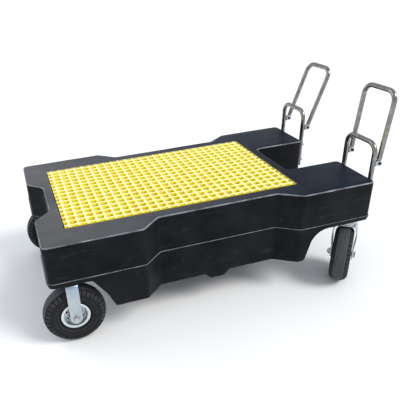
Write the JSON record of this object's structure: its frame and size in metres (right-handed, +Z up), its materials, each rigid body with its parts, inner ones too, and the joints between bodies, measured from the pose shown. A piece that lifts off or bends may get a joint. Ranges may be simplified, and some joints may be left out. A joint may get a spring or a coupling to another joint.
{
  "type": "drum dolly",
  "caption": "Wheeled spill-containment drum dolly: black moulded sump deck with yellow lift-out grating, rigid and swivel pneumatic casters, and folding push handles.",
  "frame": {"origin": "on the floor under the middle of the whole object's box at rest", "axes": "+X from the rigid casters to the handles, +Z up, -Y the left hand of a person at the handles"},
  "size_m": [1.6561, 1.0352, 0.8628],
  "materials": {
    "deck_plastic": "rotomoulded black polyethylene, satin, scuffed",
    "grating_frp": "yellow moulded glass-fibre grating",
    "zinc_steel": "bright zinc plate",
    "rim_steel": "zinc-plated pressed steel",
    "fastener_steel": "zinc-plated, slightly dull",
    "bearing_steel": "ground steel",
    "handle_tube": "chrome-plated tube",
    "tyre_rubber": "black rubber, dusty tread",
    "tube_rubber": "black butyl rubber",
    "plug_plastic": "black polyethylene",
    "brass": "brass colour, machined"
  },
  "bodies": {
    "deck": {"deck_shell": "deck_plastic", "threaded_inserts": "brass", "front_left_fork": "zinc_steel", "front_left_axle": "fastener_steel", "front_left_mounting_bolts": "fastener_steel", "front_right_fork": "zinc_steel", "front_right_axle": "fastener_steel", "front_right_mounting_bolts": "fastener_steel", "rear_left_top_plate": "zinc_steel", "rear_left_kingpin": "fastener_steel", "rear_left_mounting_bolts": "fastener_steel", "rear_right_top_plate": "zinc_steel", "rear_right_kingpin": "fastener_steel", "rear_right_mounting_bolts": "fastener_steel", "left_hoop": "handle_tube", "left_hoop_bolts": "fastener_steel", "left_hoop_plugs": "plug_plastic", "left_clevises": "zinc_steel", "left_pivot_bolts": "fastener_steel", "right_hoop": "handle_tube", "right_hoop_bolts": "fastener_steel", "right_hoop_plugs": "plug_plastic", "right_clevises": "zinc_steel", "right_pivot_bolts": "fastener_steel"},
    "grating_lift": {"grating": "grating_frp"},
    "front_left_wheel": {"front_left_rim_outer": "rim_steel", "front_left_rim_inner": "rim_steel", "front_left_rim_bolts": "fastener_steel", "front_left_tyre": "tyre_rubber", "front_left_inner_tube": "tube_rubber", "front_left_bearings": "bearing_steel"},
    "front_right_wheel": {"front_right_rim_outer": "rim_steel", "front_right_rim_inner": "rim_steel", "front_right_rim_bolts": "fastener_steel", "front_right_tyre": "tyre_rubber", "front_right_inner_tube": "tube_rubber", "front_right_bearings": "bearing_steel"},
    "rear_left_swivel": {"rear_left_fork": "zinc_steel", "rear_left_swivel_balls": "bearing_steel", "rear_left_axle": "fastener_steel"},
    "rear_left_wheel": {"rear_left_rim_outer": "rim_steel", "rear_left_rim_inner": "rim_steel", "rear_left_rim_bolts": "fastener_steel", "rear_left_tyre": "tyre_rubber", "rear_left_inner_tube": "tube_rubber", "rear_left_bearings": "bearing_steel"},
    "rear_right_swivel": {"rear_right_fork": "zinc_steel", "rear_right_swivel_balls": "bearing_steel", "rear_right_axle": "fastener_steel"},
    "rear_right_wheel": {"rear_right_rim_outer": "rim_steel", "rear_right_rim_inner": "rim_steel", "rear_right_rim_bolts": "fastener_steel", "rear_right_tyre": "tyre_rubber", "rear_right_inner_tube": "tube_rubber", "rear_right_bearings": "bearing_steel"},
    "left_handle": {"left_swing_handle": "handle_tube"},
    "right_handle": {"right_swing_handle": "handle_tube"}
  },
  "joints": [
    {"name": "front_left_wheel_spin", "type": "hinge", "parent": "deck", "child": "front_left_wheel", "pos_m": [-0.69708, -0.378, 0.131], "axis": [0, 1, 0], "continuous": true},
    {"name": "front_right_wheel_spin", "type": "hinge", "parent": "deck", "child": "front_right_wheel", "pos_m": [-0.69708, 0.378, 0.131], "axis": [0, 1, 0], "continuous": true},
    {"name": "rear_left_swivel", "type": "hinge", "parent": "deck", "child": "rear_left_swivel", "pos_m": [0.59992, -0.371, 0.286], "axis": [0, 0, 1], "continuous": true},
    {"name": "rear_left_wheel_spin", "type": "hinge", "parent": "rear_left_swivel", "child": "rear_left_wheel", "pos_m": [0.5704, -0.40496, 0.131], "axis": [-0.7547, 0.6561, 0], "continuous": true},
    {"name": "rear_right_swivel", "type": "hinge", "parent": "deck", "child": "rear_right_swivel", "pos_m": [0.59992, 0.371, 0.286], "axis": [0, 0, 1], "continuous": true},
    {"name": "rear_right_wheel_spin", "type": "hinge", "parent": "rear_right_swivel", "child": "rear_right_wheel", "pos_m": [0.5704, 0.40496, 0.131], "axis": [0.7547, 0.6561, 0], "continuous": true},
    {"name": "left_handle_fold", "type": "hinge", "parent": "deck", "child": "left_handle", "pos_m": [0.71242, -0.28, 0.547], "axis": [0, 1, 0], "range_deg": [-7, 145]},
    {"name": "right_handle_fold", "type": "hinge", "parent": "deck", "child": "right_handle", "pos_m": [0.71242, 0.28, 0.547], "axis": [0, 1, 0], "range_deg": [-22, 130]},
    {"name": "grating_lift", "type": "slide", "parent": "deck", "child": "grating_lift", "axis": [0, 0, 1], "range_m": [0, 0.25]}
  ]
}
